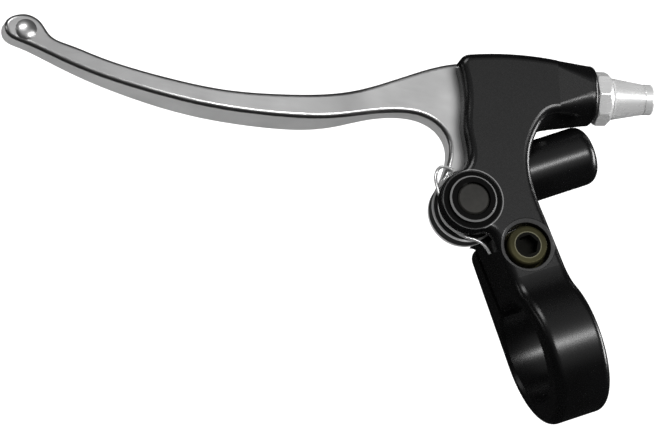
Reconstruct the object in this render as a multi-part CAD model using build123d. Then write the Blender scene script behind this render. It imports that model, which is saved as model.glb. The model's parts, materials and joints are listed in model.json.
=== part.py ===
from build123d import *
import math
import os

os.makedirs("parts", exist_ok=True)

# Sizes in millimetres. The origin is the centre of the handlebar bore.
# X runs along the handlebar towards its middle, Y forward to the lever, Z along the lever's pivot.

# Handlebar band
BAR_R = 22.2 / 2
BAND_W = 12.4
BAND_WALL = 4.0
BAND_OFF_Y = -1.4
BAND_OFF_Z = 1.0
BAND_R = BAR_R + BAND_WALL
HALF_W = BAND_W / 2
SLOT_TOP = -3.4
SLOT_GAP = 1.8
EAR_END = 26.0
EAR_LOW = -10.4
BORE_CHAMFER = 0.6

# Bracket body
BODY_TOP = 10.5
BODY_LOW = -4.5
MID_Z = (BODY_TOP + BODY_LOW) / 2
EDGE_R = 1.8
NECK_FOOT = 13.0
NECK_BLEND = 8.0

# Pivot
PIVOT_X = -7.6
PIVOT_Y = 32.7
LUG_R = 7.0
PIN_R = 3.0
PIN_HEAD_R = 3.4
PIN_HEAD_H = 0.75
RUN = 0.05
BUSH_R = 4.3
FLANGE_R = 5.1
FLANGE_H = 1.1
FLANGE_SINK = 0.5
FLANGE_CHAMFER = 0.35
RECESS_R = 6.4
LOW_LUG_R = 5.7
LOW_LUG_Z = -2.8
FIT = 0.02

# Lever
ROOT_T = 5.4
BLADE_H = 9.5
TIP_H = 4.8
HUB_R = 7.4
HUB_STEP = 4.2
SPIGOT_R = 5.1
SPIGOT_TOP = 7.5
DIMPLE_R = 4.2
DIMPLE_DEEP = 0.75
DIMPLE_X = -84.0
DIMPLE_Y = 98.0
DIMPLE_FACE = 2.7
LEVER_EDGE = 0.9
TAIL_R = 29.3
NOSE_STEP = 1.7
NOSE_R = TAIL_R + NOSE_STEP
NOSE_ANGLE = 68.5
MOUTH_ROOM = 3.0
MOUTH_R = NOSE_R + MOUTH_ROOM
GAP = 0.4
WIDE_GAP = 0.5
WASHER_T = 0.5
WASHER_GAP = 0.3

# Cable end
CABLE_ARM = 24.8
CABLE_SEAT_R = 3.6
SEAT_ROOF = 1.0
REST_LAG = 12.0
CABLE_SLOT = 2.2

# Adjuster
ADJ_ANGLE = -19.1
ADJ_X = 28.2
ADJ_Y = 47.0
ARM_W = 11.9
ARM_H = 13.2
ARM_SHIFT = 0.5
ARM_L = 9.0
ARM_ROUND = 0.42 * ARM_W
STEM_R = 3.4
STEM_L = 9.5
STEM_RUN = 0.1
NUT_SIDES = 8
NUT_TURN = 7.0
NUT_FLATS = 10.8
NUT_T = 3.3
NUT_GAP = 0.3
BARREL_R0 = 4.45
BARREL_R1 = 3.25
BARREL_L = 9.0
BARREL_END_L = 2.1
GROOVE_W = 0.3
GROOVE_D = 0.2
HOUSING_R = 2.6
HOUSING_DEEP = 6.0
CABLE_R = 1.2

# Side boss
BOSS_Y = 36.3
BOSS_R = 6.3
BOSS_END = 23.3
BOSS_ROUND = 2.6

# Clamp screw
BOLT_Y = 19.8
BOLT_R = 2.5
BOLT_HEAD_R = 4.25
BOLT_HEAD_H = 4.4
BOLT_HOLE_R = 2.7
HEX_FLATS = 4.0
HEX_DEEP = 2.6
SINK_R = 5.0
SINK_RIM = 0.9
SINK_FLOOR = 5.0
SCREW_WASHER_T = 0.9
SCREW_WASHER_R = 4.8
BOLT_END = -11.0

# Return spring
WIRE_R = 0.35
BEND_R = 1.06 * WIRE_R
STEP_R = 0.85 * WIRE_R
COIL_R = 6.05
COIL_TURNS = 3
STEP_ANGLE = 205.0
WIRE_GAP = 0.3
SPRING_ROOM_R = 9.0
SPRING_ROOF = 7.8


def polar(radius, degrees):
    a = math.radians(degrees)
    return (PIVOT_X + radius * math.cos(a), PIVOT_Y + radius * math.sin(a))


def rod(radius, low, high, x=PIVOT_X, y=PIVOT_Y):
    return Pos(x, y, (low + high) / 2) * Cylinder(radius, high - low)


def tube(outer, inner, low, high, x=PIVOT_X, y=PIVOT_Y):
    return rod(outer, low, high, x, y) - rod(inner, low - 1, high + 1, x, y)


# Directions of the adjuster in the plane of the lever
along = (math.cos(math.radians(ADJ_ANGLE)), math.sin(math.radians(ADJ_ANGLE)))
across = (-along[1], along[0])


def on_axis(t, side=0.0):
    return (ADJ_X + t * along[0] + side * across[0], ADJ_Y + t * along[1] + side * across[1])


def axis_plane(t):
    x, y = on_axis(t)
    return Plane(origin=(x, y, MID_Z), x_dir=(across[0], across[1], 0), z_dir=(along[0], along[1], 0))


def axis_rod(radius, t0, t1):
    return axis_plane((t0 + t1) / 2) * Cylinder(radius, t1 - t0)


# Bracket: body outline seen along the pivot
arm_low = on_axis(-ARM_L, ARM_SHIFT - ARM_W / 2)
arm_high = on_axis(-ARM_L, ARM_SHIFT + ARM_W / 2)
lug_angle = math.radians(95)
lug_start = polar(LUG_R, 95)
lug_way = (-math.sin(lug_angle), math.cos(lug_angle))
hood_corner = (1.3, 63.6)
lug_foot = PIVOT_Y - math.sqrt(LUG_R ** 2 - (HALF_W + PIVOT_X) ** 2)
with BuildSketch() as outline:
    with BuildLine():
        Line((HALF_W, NECK_FOOT), (HALF_W, 21.0))
        Spline((HALF_W, 21.0), (6.3, 30.0), (8.4, 38.2), (12.6, 43.3), arm_low, tangents=((0, 1), along))
        Line(arm_low, arm_high)
        ThreePointArc(arm_high, (13.0, 60.2), hood_corner)
        Spline(hood_corner, (-0.7, 54.0), (-3.4, 47.5), lug_start, tangents=((-0.1, -1), lug_way))
        ThreePointArc(lug_start, (PIVOT_X - LUG_R, PIVOT_Y), (-HALF_W, lug_foot))
        Line((-HALF_W, lug_foot), (-HALF_W, NECK_FOOT))
        Line((-HALF_W, NECK_FOOT), (HALF_W, NECK_FOOT))
    make_face()
    fillet(outline.vertices().filter_by_position(Axis.Y, lug_foot - 0.01, lug_foot + 0.01), 2.0)
    fillet(outline.vertices().sort_by(Axis.Y)[-1], 2.6)
body = Pos(0, 0, BODY_LOW) * extrude(outline.sketch, BODY_TOP - BODY_LOW)


def is_rim(edge):
    mid = edge.center()
    if mid.Y < NECK_FOOT + 0.1:
        return False
    t = (mid.X - ADJ_X) * along[0] + (mid.Y - ADJ_Y) * along[1]
    return t < -ARM_L - 0.1 or mid.X < 10


top_rim = [e for e in body.edges().group_by(Axis.Z)[-1] if is_rim(e)]
low_rim = [e for e in body.edges().group_by(Axis.Z)[0] if is_rim(e)]
body = fillet(top_rim + low_rim, EDGE_R)

# Bracket: arm that rounds off towards the adjuster
arm = loft([
    axis_plane(-ARM_L - 0.5) * Pos(ARM_SHIFT, 0) * RectangleRounded(ARM_W, BODY_TOP - BODY_LOW, EDGE_R),
    axis_plane(-1.5) * Pos(ARM_SHIFT, 0) * RectangleRounded(ARM_W, ARM_H, ARM_ROUND),
])
arm_tip = Pos(ARM_SHIFT, 0) * extrude(RectangleRounded(ARM_W, ARM_H, ARM_ROUND), 1.5)
arm_tip = fillet(arm_tip.edges().group_by(Axis.Z)[-1], 1.2)
arm_end = axis_plane(-1.5) * arm_tip

# Bracket: side boss
boss = Pos(BOSS_END / 2, BOSS_Y, BODY_LOW + BOSS_R) * Rot(0, 90, 0) * Cylinder(BOSS_R, BOSS_END)
boss = fillet(boss.edges().group_by(Axis.X)[-1], BOSS_ROUND)
boss = boss & Pos(50 + 3, BOSS_Y, 0) * Box(100, 40, 40)

# Bracket: split band and ears, drawn across the bar
ear_y = EAR_END - BAND_OFF_Y
ear_z = EAR_LOW - BAND_OFF_Z
touch = math.atan2(ear_z, ear_y) - math.acos(BAND_R / math.hypot(ear_y, ear_z))
touch_point = (BAND_OFF_Y + BAND_R * math.cos(touch), BAND_OFF_Z + BAND_R * math.sin(touch))
neck_y = BAND_OFF_Y + math.sqrt(BAND_R ** 2 - (BODY_TOP - BAND_OFF_Z) ** 2)
ears = make_face(Polyline(
    touch_point, (EAR_END, EAR_LOW), (EAR_END, BODY_TOP), (neck_y, BODY_TOP),
    (BAND_OFF_Y, BAND_OFF_Z), close=True))
side = Pos(BAND_OFF_Y, BAND_OFF_Z) * Circle(BAND_R) + ears
side = fillet([v for v in side.vertices() if abs(v.X - neck_y) < 0.1 and v.Y > 5], NECK_BLEND)
side = fillet([v for v in side.vertices() if abs(v.X - EAR_END) < 0.1 and v.Y < 0], 2.5)
band = extrude(Plane.YZ * side, HALF_W, both=True)
band = fillet(band.edges().group_by(Axis.X)[0] + band.edges().group_by(Axis.X)[-1], EDGE_R)

bracket = body + band + arm + arm_end + boss

# Bracket: bore, split and screw hole
bracket -= Rot(0, 90, 0) * Cylinder(BAR_R, 40)
for end in (-1, 1):
    bracket -= Pos(end * (HALF_W - BORE_CHAMFER / 2 + 0.01), 0, 0) * Rot(0, 90 * end, 0) * Cone(
        BAR_R, BAR_R + BORE_CHAMFER, BORE_CHAMFER)
slot_low = SLOT_TOP - SLOT_GAP
bracket -= Pos(0, (8 + EAR_END + 0.6) / 2, (SLOT_TOP + slot_low) / 2) * Box(
    BAND_W + 2, EAR_END + 0.6 - 8, SLOT_GAP)
bracket -= rod(BOLT_HOLE_R, slot_low, BODY_TOP, 0, BOLT_Y)
bracket -= rod(BOLT_R + RUN, EAR_LOW - 8, slot_low + 0.1, 0, BOLT_Y)
sink = rod(SINK_R, SINK_FLOOR, BODY_TOP + 1, 0, BOLT_Y)
sink += Pos(0, BOLT_Y, BODY_TOP - SINK_RIM / 2 + 0.01) * Cone(SINK_R, SINK_R + SINK_RIM, SINK_RIM)
bracket -= sink

# Lever: tail with the cable end's seat, inside the hood
seat_angle = 90 + ADJ_ANGLE - REST_LAG
seat = polar(CABLE_ARM, seat_angle)
tail_angle = seat_angle - math.degrees(math.asin((CABLE_SEAT_R + 1.4) / CABLE_ARM))
tail_tip = polar(TAIL_R, tail_angle)
hub_right = polar(HUB_R, tail_angle - 75)
nose = polar(NOSE_R, NOSE_ANGLE)
shoulder = polar(TAIL_R, NOSE_ANGLE)
mouth_angle = NOSE_ANGLE - math.degrees(2 * WIDE_GAP / NOSE_R)
root_low = MID_Z - ROOT_T / 2
root_top = MID_Z + ROOT_T / 2

# Bracket: hood's hollow for the lever's root and its swing
hood_r = TAIL_R + WIDE_GAP
step_x = WIDE_GAP * math.sin(math.radians(tail_angle))
step_y = -WIDE_GAP * math.cos(math.radians(tail_angle))
hood_tip = polar(hood_r, tail_angle - math.degrees(WIDE_GAP / hood_r))
hood_foot = (hub_right[0] + step_x, hub_right[1] + step_y)
with BuildSketch() as hood:
    with BuildLine():
        Line(hood_foot, hood_tip)
        ThreePointArc(hood_tip, polar(hood_r, mouth_angle - 10), polar(hood_r, mouth_angle))
        Line(polar(hood_r, mouth_angle), polar(MOUTH_R, mouth_angle))
        ThreePointArc(polar(MOUTH_R, mouth_angle), polar(MOUTH_R, 90), polar(MOUTH_R, 120))
        Line(polar(MOUTH_R, 120), (PIVOT_X - 25, PIVOT_Y + 10))
        Line((PIVOT_X - 25, PIVOT_Y + 10), (PIVOT_X - 25, PIVOT_Y))
        Line((PIVOT_X - 25, PIVOT_Y), hood_foot)
    make_face()
    with Locations((PIVOT_X, PIVOT_Y)):
        Circle(HUB_R + WIDE_GAP)
hollow = Pos(0, 0, root_low - GAP) * extrude(hood.sketch, ROOT_T + 2 * GAP)
bracket -= hollow
bracket -= rod(SPRING_ROOM_R, HUB_STEP, SPRING_ROOF)
bracket -= rod(CABLE_SEAT_R + 0.8, BODY_LOW - 1, root_low, *seat)

# Bracket: lug holes and the adjuster's hole
washer_seat = root_low - WASHER_GAP - WASHER_T
bracket -= rod(HUB_R + WIDE_GAP, washer_seat, root_low)
bracket -= rod(BUSH_R + FIT, BODY_LOW - 1, BODY_TOP + 1)
bracket -= rod(RECESS_R, BODY_TOP - FLANGE_SINK, BODY_TOP + 1)
bracket -= rod(LOW_LUG_R, BODY_LOW - 1, LOW_LUG_Z)
lug_side = Pos(PIVOT_X - 8, PIVOT_Y + 10 - LUG_R, 0) * Box(20, 20, 40)
bracket -= tube(LUG_R + 4, LOW_LUG_R, BODY_LOW - 1, root_low) & lug_side
bracket -= axis_rod(STEM_R + STEM_RUN, -STEM_L - 1, 1)
bracket -= axis_rod(CABLE_R + 0.6, -30, -STEM_L)

# Lever: outline seen along the pivot
with BuildSketch() as lever_plan:
    with BuildLine():
        Spline((2.4, 62.7), (-1.0, 63.3), (-9.0, 63.6), (-18.0, 63.7), (-25.1, 64.3), (-37.8, 67.8),
               (-49.8, 73.0), (-57.3, 77.4), (-64.5, 82.3), (-71.4, 87.8), (-76.2, 92.1),
               (-79.3, 95.4), (-80.1, 98.6), (-81.7, 100.8), (-84.4, 101.8), (-87.2, 101.1),
               (-88.0, 98.8), (-85.6, 95.8),
               (-81.4, 91.8), (-74.8, 85.4), (-66.1, 78.4), (-55.3, 71.1), (-41.0, 63.8), (-27.8, 59.3),
               (-20.0, 58.1), (-14.2, 56.7), (-9.3, 54.2), (-6.7, 51.0), (-6.1, 47.2), (-8.1, 42.8),
               polar(HUB_R, 140))
        Line((2.4, 62.7), nose)
        Line(nose, shoulder)
        ThreePointArc(shoulder, polar(TAIL_R, (NOSE_ANGLE + tail_angle) / 2), tail_tip)
        Line(tail_tip, hub_right)
        Line(hub_right, (PIVOT_X, PIVOT_Y))
        Line((PIVOT_X, PIVOT_Y), polar(HUB_R, 140))
    make_face()
with BuildSketch(Plane.XZ) as lever_side:
    with BuildLine():
        Spline((-95, MID_Z + TIP_H / 2), (-80, MID_Z + 2.8), (-72, MID_Z + 3.4),
               (-62, MID_Z + BLADE_H / 2 - 0.5), (-46, MID_Z + BLADE_H / 2),
               (-27, MID_Z + BLADE_H / 2 - 0.55), (-19, root_top + 0.2), (-12, root_top),
               tangents=((1, 0.02), (1, 0)))
        Line((-12, root_top), (30, root_top))
        Line((30, root_top), (30, root_low))
        Line((30, root_low), (-12, root_low))
        Spline((-12, root_low), (-19, root_low - 0.2), (-27, MID_Z - BLADE_H / 2 + 0.55),
               (-46, MID_Z - BLADE_H / 2), (-62, MID_Z - BLADE_H / 2 + 0.5),
               (-72, MID_Z - 3.4), (-80, MID_Z - 2.8), (-95, MID_Z - TIP_H / 2),
               tangents=((-1, 0), (-1, 0.02)))
        Line((-95, MID_Z - TIP_H / 2), (-95, MID_Z + TIP_H / 2))
    make_face()
blank = Pos(0, 0, MID_Z - 10) * extrude(lever_plan.sketch, 20)
lever = blank & extrude(lever_side.sketch, 200, both=True)
blade_edges = [e for e in lever.edges() if e.length > 60]
lever = fillet(blade_edges, LEVER_EDGE)
lever -= Pos(DIMPLE_X, DIMPLE_Y, MID_Z + DIMPLE_FACE + DIMPLE_R - DIMPLE_DEEP) * Sphere(DIMPLE_R)
lever += rod(HUB_R, root_low, HUB_STEP)
lever -= rod(HUB_R + WIDE_GAP, HUB_STEP, root_top + 5)
lever += rod(SPIGOT_R, root_low, SPIGOT_TOP)
lever -= rod(BUSH_R - 0.3, root_low - 1, SPIGOT_TOP + 1)
lever -= rod(CABLE_SEAT_R, root_low - 1, root_top - SEAT_ROOF, *seat)
slot_mid = (seat[0] + 5 * along[0], seat[1] + 5 * along[1])
lever -= Pos(slot_mid[0], slot_mid[1], MID_Z - SEAT_ROOF) * Rot(0, 0, ADJ_ANGLE) * Box(10, CABLE_SLOT, ROOT_T)

# Pivot pieces
lever_bush = tube(BUSH_R - 0.3 - FIT, PIN_R + RUN, root_low, SPIGOT_TOP)
flange_top = BODY_TOP - FLANGE_SINK + FLANGE_H
head_seat = flange_top - PIN_HEAD_H
upper_bush = tube(BUSH_R, PIN_R + FIT, SPRING_ROOF, BODY_TOP - FLANGE_SINK)
flange = rod(FLANGE_R, BODY_TOP - FLANGE_SINK, flange_top)
flange = chamfer(flange.edges().group_by(Axis.Z)[-1], FLANGE_CHAMFER)
upper_bush += flange - rod(PIN_R + FIT, BODY_TOP - 2, flange_top + 1)
upper_bush -= rod(PIN_HEAD_R + 0.25, head_seat, flange_top + 1)
lower_bush = tube(BUSH_R, PIN_R + FIT, LOW_LUG_Z, washer_seat)
lower_bush += tube(FLANGE_R, PIN_R + FIT, LOW_LUG_Z - FLANGE_H, LOW_LUG_Z)
clip_top = LOW_LUG_Z - FLANGE_H
clip_t = 0.7
pin_end = clip_top - clip_t - 0.9
thrust_washer = tube(HUB_R - 0.7, PIN_R + 0.2, washer_seat, root_low - WASHER_GAP)
pivot_pin = rod(PIN_R, pin_end, head_seat + 0.1)
pivot_pin = chamfer(pivot_pin.edges().group_by(Axis.Z)[0], 0.4)
pin_head = rod(PIN_HEAD_R, head_seat, flange_top - 0.05)
pivot_pin += chamfer(pin_head.edges().group_by(Axis.Z)[-1], 0.3)
pivot_pin -= tube(PIN_R + 1, PIN_R - 0.5, clip_top - clip_t, clip_top)
retaining_clip = tube(PIN_R + 1.2, PIN_R - 0.5 + FIT, clip_top - clip_t + FIT, clip_top - FIT)
retaining_clip -= Pos(PIVOT_X - 4, PIVOT_Y, clip_top) * Box(8, 2.4, 4)

# Clamp screw and washer
washer_top = SINK_FLOOR + SCREW_WASHER_T
clamp_washer = tube(SCREW_WASHER_R, BOLT_R + 0.15, SINK_FLOOR, washer_top, 0, BOLT_Y)
head_top = washer_top + BOLT_HEAD_H
bolt_head = fillet(rod(BOLT_HEAD_R, washer_top, head_top, 0, BOLT_Y).edges().group_by(Axis.Z)[-1], 0.5)
clamp_bolt = bolt_head + rod(BOLT_R, BOLT_END, washer_top + 0.1, 0, BOLT_Y)
clamp_bolt -= Pos(0, BOLT_Y, head_top - HEX_DEEP) * extrude(
    RegularPolygon(HEX_FLATS / 2, 6, major_radius=False), HEX_DEEP + 1)

# Cable adjuster
nut_end = NUT_GAP + NUT_T
adjuster_nut = axis_plane(NUT_GAP) * extrude(
    RegularPolygon(NUT_FLATS / 2, NUT_SIDES, major_radius=False, rotation=NUT_TURN), NUT_T)
nut_round = Pos(0, 0, NUT_T / 2) * Cylinder(NUT_FLATS / 2 + 0.4, NUT_T)
nut_round = chamfer(nut_round.edges().group_by(Axis.Z)[-1], 1.0)
nut_round = chamfer(nut_round.edges().group_by(Axis.Z)[0], 0.3)
adjuster_nut = adjuster_nut & axis_plane(NUT_GAP) * nut_round
adjuster_nut -= axis_rod(STEM_R + STEM_RUN, -1, nut_end + 1)
barrel_start = nut_end + NUT_GAP
barrel_end = barrel_start + BARREL_L
taper_end = barrel_end - BARREL_END_L
taper = Cone(BARREL_R0, BARREL_R1, BARREL_L - BARREL_END_L)
taper = chamfer(taper.edges().group_by(Axis.Z)[0], 0.3)
barrel_tip = fillet(Cylinder(BARREL_R1, BARREL_END_L).edges().group_by(Axis.Z)[-1], 0.5)
adjuster_barrel = axis_plane((barrel_start + taper_end) / 2) * taper
adjuster_barrel += axis_plane((taper_end + barrel_end) / 2) * barrel_tip
adjuster_barrel -= axis_rod(BARREL_R0, taper_end, taper_end + GROOVE_W) - axis_rod(
    BARREL_R1 - GROOVE_D, taper_end - 1, taper_end + 1)
adjuster_barrel += axis_rod(STEM_R, -STEM_L, barrel_start + 0.5)
adjuster_barrel -= axis_rod(CABLE_R, -STEM_L - 1, barrel_end + 1)
adjuster_barrel -= axis_rod(HOUSING_R, barrel_end - HOUSING_DEEP, barrel_end + 1)

# Return spring: turns round the hub's spigot, leg against the neck, hook over the lever's root
coil_low = HUB_STEP + WIRE_GAP + WIRE_R
coil_high = SPRING_ROOF - 0.1 - WIRE_R
neck_leg = -HALF_W - 0.15 - WIRE_R
over_root = root_top + 0.2 + WIRE_R


def wire(*points):
    shape = Pos(*points[0]) * Sphere(BEND_R)
    for a, b in zip(points, points[1:]):
        run = Vector(*b) - Vector(*a)
        shape += Plane(origin=(Vector(*a) + Vector(*b)) / 2, z_dir=run) * Cylinder(WIRE_R, run.length)
        shape += Pos(*b) * Sphere(BEND_R)
    return shape


return_spring = rod(STEP_R, coil_low, coil_high, *polar(COIL_R, STEP_ANGLE))
for i in range(COIL_TURNS):
    z = coil_low + (coil_high - coil_low) * i / (COIL_TURNS - 1)
    return_spring += tube(COIL_R + WIRE_R, COIL_R - WIRE_R, z - WIRE_R, z + WIRE_R)
return_spring += wire((*polar(COIL_R, 270), coil_low), (neck_leg, 24.2, coil_low), (neck_leg, 21.6, coil_low))
return_spring += wire((*polar(COIL_R, 128), coil_high), (-12.2, 40.6, root_top - 0.6),
                      (-10.4, 43.2, root_top - 0.2), (-9.0, 42.3, over_root), (-7.6, 40.7, over_root))

for name, shape in (
    ("bracket", bracket),
    ("lever", lever),
    ("lever_bush", lever_bush),
    ("pivot_pin", pivot_pin),
    ("upper_bush", upper_bush),
    ("lower_bush", lower_bush),
    ("thrust_washer", thrust_washer),
    ("retaining_clip", retaining_clip),
    ("return_spring", return_spring),
    ("clamp_bolt", clamp_bolt),
    ("clamp_washer", clamp_washer),
    ("adjuster_nut", adjuster_nut),
    ("adjuster_barrel", adjuster_barrel),
):
    export_step(shape, "parts/" + name + ".step")
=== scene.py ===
import json
import math
import bpy
from mathutils import Matrix, Vector


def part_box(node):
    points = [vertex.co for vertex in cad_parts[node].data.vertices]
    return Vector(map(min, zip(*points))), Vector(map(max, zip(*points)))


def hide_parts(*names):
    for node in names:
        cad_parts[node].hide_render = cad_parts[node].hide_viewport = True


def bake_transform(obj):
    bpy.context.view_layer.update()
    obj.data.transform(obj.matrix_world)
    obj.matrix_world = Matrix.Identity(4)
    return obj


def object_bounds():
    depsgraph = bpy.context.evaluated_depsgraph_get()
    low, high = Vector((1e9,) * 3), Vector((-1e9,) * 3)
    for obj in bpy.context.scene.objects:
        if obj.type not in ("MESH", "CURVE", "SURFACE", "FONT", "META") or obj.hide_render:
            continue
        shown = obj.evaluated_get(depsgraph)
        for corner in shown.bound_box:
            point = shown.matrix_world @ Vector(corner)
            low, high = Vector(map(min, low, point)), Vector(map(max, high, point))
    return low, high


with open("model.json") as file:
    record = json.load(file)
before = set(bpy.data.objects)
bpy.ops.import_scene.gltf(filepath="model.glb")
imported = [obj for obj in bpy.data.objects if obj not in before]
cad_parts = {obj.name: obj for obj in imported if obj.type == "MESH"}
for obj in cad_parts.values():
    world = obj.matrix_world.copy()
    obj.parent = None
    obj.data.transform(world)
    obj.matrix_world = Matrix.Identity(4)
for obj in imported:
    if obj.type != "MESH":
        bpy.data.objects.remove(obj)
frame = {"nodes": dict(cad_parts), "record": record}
nodes = frame["nodes"]
cad_low, cad_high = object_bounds()
scene = bpy.context.scene
MM = 0.001
MICRON = 0.000001

# How every finish uses its noise
NOISE_LOW, NOISE_HIGH = 0.3, 0.7
FINE_DETAIL = 5.0
BROAD_SCALE, BROAD_DETAIL = 90.0, 3.0
BUMP_STRENGTH = 0.2


def grey(level):
    return (level, level, level)


def new_material(name):
    mat = bpy.data.materials.new(name)
    mat.use_nodes = True
    tree = mat.node_tree
    return mat, tree, tree.nodes["Principled BSDF"]


def add(tree, kind, **values):
    """Add a node; values named in_... go to its inputs, the others to its settings."""
    node = tree.nodes.new(kind)
    for key, value in values.items():
        if key.startswith("in_"):
            node.inputs[key[3:].replace("_", " ")].default_value = value
        else:
            setattr(node, key, value)
    return node


def grain(tree, scale, detail=4.0, stretch=1.0, turn=0.0):
    """Noise in the piece's own place, drawn out along a direction turned from X."""
    coord = add(tree, "ShaderNodeTexCoord")
    mapping = add(tree, "ShaderNodeMapping", vector_type="TEXTURE")
    mapping.inputs["Scale"].default_value = (stretch, 1, 1)
    mapping.inputs["Rotation"].default_value = (0, 0, turn)
    noise = add(tree, "ShaderNodeTexNoise", in_Scale=scale, in_Detail=detail)
    tree.links.new(coord.outputs["Object"], mapping.inputs["Vector"])
    tree.links.new(mapping.outputs["Vector"], noise.inputs["Vector"])
    return noise


def spread(tree, noise, low, high, target):
    """Drive a value between low and high by the noise."""
    ramp = add(tree, "ShaderNodeMapRange")
    ramp.inputs["From Min"].default_value = NOISE_LOW
    ramp.inputs["From Max"].default_value = NOISE_HIGH
    ramp.inputs["To Min"].default_value = low
    ramp.inputs["To Max"].default_value = high
    tree.links.new(noise.outputs["Fac"], ramp.inputs["Value"])
    tree.links.new(ramp.outputs["Result"], target)


def tint(tree, noise, dark, light, target):
    """Drive a colour between dark and light by the noise."""
    ramp = add(tree, "ShaderNodeValToRGB")
    ramp.color_ramp.elements[0].position = NOISE_LOW
    ramp.color_ramp.elements[1].position = NOISE_HIGH
    ramp.color_ramp.elements[0].color = (*dark, 1)
    ramp.color_ramp.elements[1].color = (*light, 1)
    tree.links.new(noise.outputs["Fac"], ramp.inputs["Fac"])
    tree.links.new(ramp.outputs["Color"], target)


def bump(tree, shader, noise, distance):
    node = add(tree, "ShaderNodeBump", in_Strength=BUMP_STRENGTH, in_Distance=distance)
    tree.links.new(noise.outputs["Fac"], node.inputs["Height"])
    tree.links.new(node.outputs["Normal"], shader.inputs["Normal"])


def finish_of(name, dark, light, metal, rough, grain_scale, bump_depth, stretch=1.0, turn=0.0,
              shine=0.5):
    """A finish with broad patches of colour and a fine grain in its roughness and relief."""
    mat, tree, shader = new_material(name)
    shader.inputs["Metallic"].default_value = metal
    shader.inputs["Specular IOR Level"].default_value = shine
    fine = grain(tree, grain_scale, FINE_DETAIL, stretch, turn)
    broad = grain(tree, BROAD_SCALE, BROAD_DETAIL)
    tint(tree, broad, dark, light, shader.inputs["Base Color"])
    spread(tree, fine, rough[0], rough[1], shader.inputs["Roughness"])
    bump(tree, shader, fine, bump_depth)
    return mat


def ramp_on(tree, value, stops):
    """A grey ramp over a value, through stops of (value, level)."""
    ramp = add(tree, "ShaderNodeValToRGB")
    marks = ramp.color_ramp.elements
    for mark, (where, level) in zip((marks[0], marks[1]), (stops[0], stops[-1])):
        mark.position, mark.color = where, (*grey(level), 1)
    for where, level in stops[1:-1]:
        marks.new(where).color = (*grey(level), 1)
    tree.links.new(value, ramp.inputs["Fac"])
    return ramp.outputs["Color"]


def polish(mat, side, edge, top):
    """Set how metallic a piece looks on its upright sides, its rounded edges and its flat top."""
    side_to, edge_from, edge_to, top_from = 0.12, 0.25, 0.93, 0.98
    tree = mat.node_tree
    geometry = add(tree, "ShaderNodeNewGeometry")
    split = add(tree, "ShaderNodeSeparateXYZ")
    steep = add(tree, "ShaderNodeMath", operation="ABSOLUTE")
    tree.links.new(geometry.outputs["Normal"], split.inputs["Vector"])
    tree.links.new(split.outputs["Z"], steep.inputs[0])
    stops = ((side_to, side), (edge_from, edge), (edge_to, edge), (top_from, top))
    level = ramp_on(tree, steep.outputs["Value"], stops)
    tree.links.new(level, tree.nodes["Principled BSDF"].inputs["Metallic"])


def zone(mat, centre, radii, heights, colour, amount, dull=0.0):
    """Tint a piece between two radii of an upright line and two heights, and dull it there."""
    tree = mat.node_tree
    shader = tree.nodes["Principled BSDF"]
    coord = add(tree, "ShaderNodeTexCoord")
    split = add(tree, "ShaderNodeSeparateXYZ")
    flat = add(tree, "ShaderNodeCombineXYZ")
    reach = add(tree, "ShaderNodeVectorMath", operation="DISTANCE")
    reach.inputs[1].default_value = (centre[0], centre[1], 0)
    tree.links.new(coord.outputs["Object"], split.inputs["Vector"])
    tree.links.new(split.outputs["X"], flat.inputs["X"])
    tree.links.new(split.outputs["Y"], flat.inputs["Y"])
    tree.links.new(flat.outputs["Vector"], reach.inputs[0])
    share = None
    for value, (low, high) in ((reach.outputs["Value"], radii), (split.outputs["Z"], heights)):
        near = add(tree, "ShaderNodeMath", operation="COMPARE")
        near.inputs[1].default_value = (low + high) / 2
        near.inputs[2].default_value = (high - low) / 2
        tree.links.new(value, near.inputs[0])
        both = add(tree, "ShaderNodeMath", operation="MULTIPLY")
        both.inputs[1].default_value = amount
        tree.links.new(near.outputs["Value"], both.inputs[0])
        if share is not None:
            tree.links.new(share, both.inputs[1])
        share = both.outputs["Value"]
    mix = add(tree, "ShaderNodeMix", data_type="RGBA")
    tree.links.new(share, mix.inputs["Factor"])
    tree.links.new(shader.inputs["Base Color"].links[0].from_socket, mix.inputs["A"])
    mix.inputs["B"].default_value = (*colour, 1)
    tree.links.new(mix.outputs["Result"], shader.inputs["Base Color"])
    if dull:
        shine = shader.inputs["Specular IOR Level"]
        level = add(tree, "ShaderNodeMapRange")
        level.inputs["To Min"].default_value = shine.default_value
        level.inputs["To Max"].default_value = shine.default_value * (1 - dull)
        tree.links.new(share, level.inputs["Value"])
        tree.links.new(level.outputs["Result"], shine)


# Finishes; the lever's grain runs along the blade and the adjuster's along its thread
BLADE_WAY = math.radians(-30)
ADJUSTER_WAY = math.radians(-19.1)
paint = finish_of("black_paint", dark=(0.0014, 0.0014, 0.0015), light=(0.0026, 0.0026, 0.0028),
                  metal=0.0, rough=(0.25, 0.29), grain_scale=2600, bump_depth=MICRON, shine=0.42)
lever_metal = finish_of("lever_metal", dark=grey(0.43), light=grey(0.53), metal=0.4,
                        rough=(0.28, 0.32), grain_scale=2200, bump_depth=0.2 * MICRON,
                        stretch=12.0, turn=BLADE_WAY, shine=0.3)
polish(lever_metal, side=0.25, edge=1.0, top=0.8)
bright_metal = finish_of("turned_metal", dark=grey(0.77), light=grey(0.89), metal=0.58,
                         rough=(0.2, 0.3), grain_scale=1800, bump_depth=0.2 * MICRON,
                         stretch=10.0, turn=ADJUSTER_WAY)
wire_metal = finish_of("spring_wire", dark=grey(0.55), light=grey(0.68), metal=0.7,
                       rough=(0.18, 0.28), grain_scale=3000, bump_depth=0.5 * MICRON)
zinc = finish_of("olive_zinc", dark=(0.010, 0.0095, 0.004), light=(0.040, 0.037, 0.018),
                 metal=0.6, rough=(0.34, 0.5), grain_scale=1800, bump_depth=4 * MICRON, shine=0.08)
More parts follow.
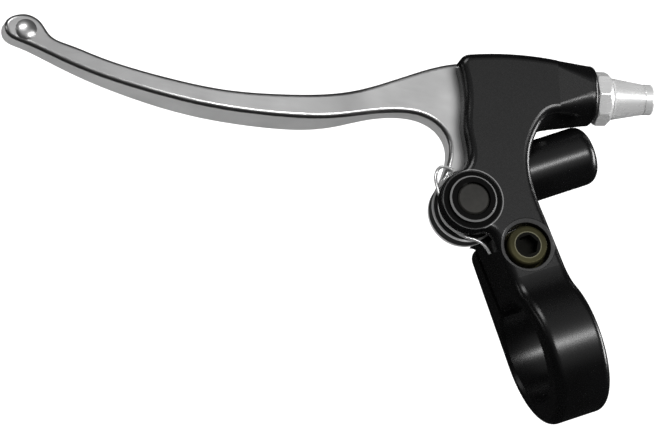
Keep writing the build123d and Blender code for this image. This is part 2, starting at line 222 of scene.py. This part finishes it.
dark_steel = finish_of("dark_steel", dark=(0.009, 0.0087, 0.0078), light=(0.026, 0.025, 0.022),
                       metal=0.3, rough=(0.45, 0.6), grain_scale=1600, bump_depth=10 * MICRON,
                       shine=0.3)
black_plastic = finish_of("black_plastic", dark=grey(0.0015), light=grey(0.003), metal=0.0,
                          rough=(0.16, 0.22), grain_scale=3000, bump_depth=MICRON, shine=0.07)
bronze = finish_of("bronze", dark=(0.42, 0.28, 0.12), light=(0.5, 0.34, 0.16), metal=1.0,
                   rough=(0.35, 0.5), grain_scale=3000, bump_depth=4 * MICRON)
nylon = finish_of("nylon", dark=(0.66, 0.65, 0.6), light=(0.74, 0.73, 0.68), metal=0.0,
                  rough=(0.4, 0.55), grain_scale=3000, bump_depth=4 * MICRON)

pivot = [j for j in frame["record"]["behaviour"]["joints"] if j["name"] == "lever_pull"][0]["pos_m"]
bolt_low, bolt_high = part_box("clamp_bolt")
bolt_axis = ((bolt_low[0] + bolt_high[0]) / 2, (bolt_low[1] + bolt_high[1]) / 2)
flange_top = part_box("upper_bush")[1][2]
FLANGE_RISE = 0.6 * MM
body_top = flange_top - FLANGE_RISE
over_body = body_top + 0.1 * MM
bolt_reach = (0, bolt_high[2] + 1 * MM)
# Painted shade colour, used on the hub, in the pivot recess and in the screw socket
PAINTED_SHADE = grey(0.002)
# Painted highlight colour, used on the flange, recess and sink edges
PAINTED_HIGHLIGHT = grey(0.45)
# Painted highlight colour for the screw socket's rim
SOCKET_RIM_HIGHLIGHT = (0.16, 0.155, 0.11)
HUB_R = 7.8 * MM
HUB_FACE_R = 7.0 * MM
HUB_LOW, HUB_RIM, HUB_TOP = 1.2 * MM, 3.9 * MM, 4.5 * MM
FLANGE_EDGE = (4.75 * MM, 5.2 * MM)
RECESS_EDGE = (6.2 * MM, 6.6 * MM)
SINK_EDGE = (5.1 * MM, 5.8 * MM)
SOCKET_R, SOCKET_RIM_R = 2.75 * MM, 2.95 * MM
# Painted shade: the hub between the lugs is darkened nearly to black, leaving a thin rim of the
# lever's own metal
zone(lever_metal, pivot, (0, HUB_R), (HUB_LOW, HUB_RIM), PAINTED_SHADE, 0.96)
zone(lever_metal, pivot, (0, HUB_FACE_R), (HUB_RIM, HUB_TOP), PAINTED_SHADE, 0.96)
# Painted shade darkens and dulls the recess round the flange, and painted highlights lighten the
# edges of the flange and the recess
zone(black_plastic, pivot, FLANGE_EDGE, (flange_top - 0.4 * MM, flange_top), PAINTED_HIGHLIGHT, 0.3)
zone(paint, pivot, (0, RECESS_EDGE[0]), (0, over_body), PAINTED_SHADE, 1.0, dull=0.9)
zone(paint, pivot, RECESS_EDGE, (body_top - 0.5 * MM, over_body), PAINTED_HIGHLIGHT, 0.35)
# A painted highlight lightens the edge of the screw's sink; painted shade darkens its socket, inside
# a painted highlight on the socket's rim
zone(paint, bolt_axis, SINK_EDGE, (body_top - 0.9 * MM, over_body), PAINTED_HIGHLIGHT, 0.12)
zone(zinc, bolt_axis, (0, SOCKET_R), bolt_reach, PAINTED_SHADE, 0.95)
zone(zinc, bolt_axis, (SOCKET_R, SOCKET_RIM_R), bolt_reach, SOCKET_RIM_HIGHLIGHT, 0.6)

looks = {
    "bracket": paint,
    "lever": lever_metal,
    "lever_bush": bronze,
    "pivot_pin": dark_steel,
    "upper_bush": black_plastic,
    "lower_bush": black_plastic,
    "thrust_washer": nylon,
    "retaining_clip": dark_steel,
    "return_spring": wire_metal,
    "clamp_bolt": zinc,
    "clamp_washer": zinc,
    "adjuster_nut": bright_metal,
    "adjuster_barrel": bright_metal,
}
for name, mat in looks.items():
    obj = nodes[name]
    obj.data.materials.clear()
    obj.data.materials.append(mat)

# Return spring as one drawn wire: leg on the neck, coil round the spigot, hook over the lever's root
spring_low, spring_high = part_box("return_spring")
WIRE_R = 0.35 * MM
WIRE_SEAT = 1.1 * WIRE_R
COIL_R = 6.05 * MM
COIL_FROM = math.radians(205)
COIL_SWEEP = math.radians(760)
COIL_STEPS = 64
WIRE_SMOOTH = 4
CURVE_ORDER = 4
LEG_MM = [(-6.7, 21.6), (-6.8, 23.6), (-8.4, 25.6), (-10.6, 26.5)]
HOOK_MM = [(-12.5, 38.5, 6.3), (-12.0, 40.4, 5.3), (-11.1, 41.9, 5.1), (-10.1, 42.7, 5.7),
           (-9.0, 42.2, 6.25), (-7.8, 40.8, 6.25)]
low_z = spring_low[2] + WIRE_SEAT
high_z = spring_high[2] - WIRE_SEAT
wire_path = [Vector((x * MM, y * MM, low_z)) for x, y in LEG_MM]
for i in range(COIL_STEPS + 1):
    share = i / COIL_STEPS
    angle = COIL_FROM - COIL_SWEEP * share
    wire_path.append(Vector((pivot[0] + COIL_R * math.cos(angle),
                             pivot[1] + COIL_R * math.sin(angle),
                             low_z + (high_z - low_z) * share)))
wire_path += [Vector(point) * MM for point in HOOK_MM]
wire_data = bpy.data.curves.new("spring_wire", "CURVE")
wire_data.dimensions = "3D"
wire_data.bevel_depth = WIRE_R
wire_data.bevel_resolution = WIRE_SMOOTH
wire_data.use_fill_caps = True
line = wire_data.splines.new("NURBS")
line.points.add(len(wire_path) - 1)
for point, where in zip(line.points, wire_path):
    point.co = (*where, 1)
line.order_u = CURVE_ORDER
line.use_endpoint_u = True
line.resolution_u = WIRE_SMOOTH
drawn = bpy.data.objects.new("spring_curve", wire_data)
scene.collection.objects.link(drawn)
evaluated = drawn.evaluated_get(bpy.context.evaluated_depsgraph_get())
spring_mesh = bpy.data.meshes.new_from_object(evaluated)
bpy.data.objects.remove(drawn)
spring = bpy.data.objects.new("return_spring_wire", spring_mesh)
scene.collection.objects.link(spring)
spring_mesh.materials.clear()
spring_mesh.materials.append(wire_metal)
for face in spring_mesh.polygons:
    face.use_smooth = True
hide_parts("return_spring")
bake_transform(spring)

# Camera, set from the photo's scale and directions
CAMERA_RIGHT = Vector((0.9019, -0.3654, 0.2306))
CAMERA_UP = Vector((0.2930, 0.9094, 0.2952))
CAMERA_BACK = Vector((-0.3173, -0.1986, 0.9272))
AIM = Vector((-34.4, 41.2, -3.0)) * MM
CAMERA_REACH = 3.0
SENSOR_MM = 36
VIEW_WIDTH = 0.1389
cam = bpy.data.objects.new("camera", bpy.data.cameras.new("camera"))
scene.collection.objects.link(cam)
axes = (CAMERA_RIGHT.normalized(), CAMERA_UP.normalized(), CAMERA_BACK.normalized())
place = Matrix(axes).transposed().to_4x4()
place.translation = AIM + CAMERA_BACK.normalized() * CAMERA_REACH
cam.matrix_world = place
cam.data.sensor_width = SENSOR_MM
cam.data.lens = SENSOR_MM * CAMERA_REACH / VIEW_WIDTH
cam.data.clip_start = 0.01
cam.data.clip_end = 30
scene.camera = cam

# Floor below the object: white to the eye, dark in reflections
FLOOR_DROP = 0.10
FLOOR_SIZE = 12
FLOOR_GRAIN = 30.0
FLOOR_MIRRORED = grey(0.014)
bpy.ops.mesh.primitive_plane_add(size=FLOOR_SIZE, location=(0, 0, cad_low[2] - FLOOR_DROP))
floor = bpy.context.object
floor.name = "floor"
floor_mat, tree, shader = new_material("floor")
shader.inputs["Roughness"].default_value = 0.9
shader.inputs["Specular IOR Level"].default_value = 0.0
tint(tree, grain(tree, FLOOR_GRAIN), grey(0.93), grey(0.95), shader.inputs["Base Color"])
mirrored = add(tree, "ShaderNodeEmission", in_Color=(*FLOOR_MIRRORED, 1), in_Strength=1.0)
rays = add(tree, "ShaderNodeLightPath")
mix = add(tree, "ShaderNodeMixShader")
tree.links.new(rays.outputs["Is Glossy Ray"], mix.inputs["Fac"])
tree.links.new(shader.outputs["BSDF"], mix.inputs[1])
tree.links.new(mirrored.outputs["Emission"], mix.inputs[2])
tree.links.new(mix.outputs["Shader"], tree.nodes["Material Output"].inputs["Surface"])
floor.data.materials.append(floor_mat)


def softbox(name, toward, reach, size, power):
    """A flat light that faces the aim, with its width as near to X as it can be."""
    data = bpy.data.lights.new(name, "AREA")
    data.shape = "RECTANGLE"
    data.size, data.size_y = size
    data.energy = power
    obj = bpy.data.objects.new(name, data)
    scene.collection.objects.link(obj)
    back_axis = Vector(toward).normalized()
    side_axis = (Vector((1, 0, 0)) - back_axis * back_axis.x).normalized()
    turn = Matrix((side_axis, back_axis.cross(side_axis), back_axis)).transposed().to_4x4()
    turn.translation = AIM + back_axis * reach
    obj.matrix_world = turn


softbox("key", toward=(-0.1, 0.75, 0.65), reach=1.0, size=(0.5, 0.35), power=3.5)
softbox("band_strip", toward=(0.317, -0.13, 0.94), reach=0.9, size=(0.6, 0.11), power=4.2)
softbox("left_strip", toward=(-0.85, 0.53, 0.24), reach=0.9, size=(0.12, 0.5), power=0.35)
softbox("right_strip", toward=(0.96, -0.22, 0.02), reach=0.9, size=(0.5, 0.18), power=6.0)

# Surroundings: white to the eye, even for soft light, and dark with a bright ceiling in reflections
SEEN_LEVEL = 1.0
EVEN_LEVEL = 0.75
CEILING_BY_HEIGHT = ((0.60, 0.006), (0.72, 0.3), (0.84, 0.42), (0.94, 0.5))
CEILING_BY_SIDE = ((0.05, 0.3), (0.31, 0.9), (0.6, 1.1), (0.8, 0.3))
world = bpy.data.worlds.new("studio")
scene.world = world
world.use_nodes = True
tree = world.node_tree
tree.nodes.clear()
out = add(tree, "ShaderNodeOutputWorld")
rays = add(tree, "ShaderNodeLightPath")
seen = add(tree, "ShaderNodeBackground", in_Color=(1, 1, 1, 1), in_Strength=SEEN_LEVEL)
even = add(tree, "ShaderNodeBackground", in_Color=(1, 1, 1, 1), in_Strength=EVEN_LEVEL)
room = add(tree, "ShaderNodeBackground", in_Strength=1.0)
mix_room = add(tree, "ShaderNodeMixShader")
mix_seen = add(tree, "ShaderNodeMixShader")
coord = add(tree, "ShaderNodeTexCoord")
split = add(tree, "ShaderNodeSeparateXYZ")
ceiling = add(tree, "ShaderNodeMath", operation="MULTIPLY")
tree.links.new(coord.outputs["Generated"], split.inputs["Vector"])
tree.links.new(ramp_on(tree, split.outputs["Z"], CEILING_BY_HEIGHT), ceiling.inputs[0])
tree.links.new(ramp_on(tree, split.outputs["X"], CEILING_BY_SIDE), ceiling.inputs[1])
tree.links.new(ceiling.outputs["Value"], room.inputs["Color"])
tree.links.new(rays.outputs["Is Glossy Ray"], mix_room.inputs["Fac"])
tree.links.new(even.outputs["Background"], mix_room.inputs[1])
tree.links.new(room.outputs["Background"], mix_room.inputs[2])
tree.links.new(rays.outputs["Is Camera Ray"], mix_seen.inputs["Fac"])
tree.links.new(mix_room.outputs["Shader"], mix_seen.inputs[1])
tree.links.new(seen.outputs["Background"], mix_seen.inputs[2])
tree.links.new(mix_seen.outputs["Shader"], out.inputs["Surface"])

scene.view_settings.view_transform = "Standard"
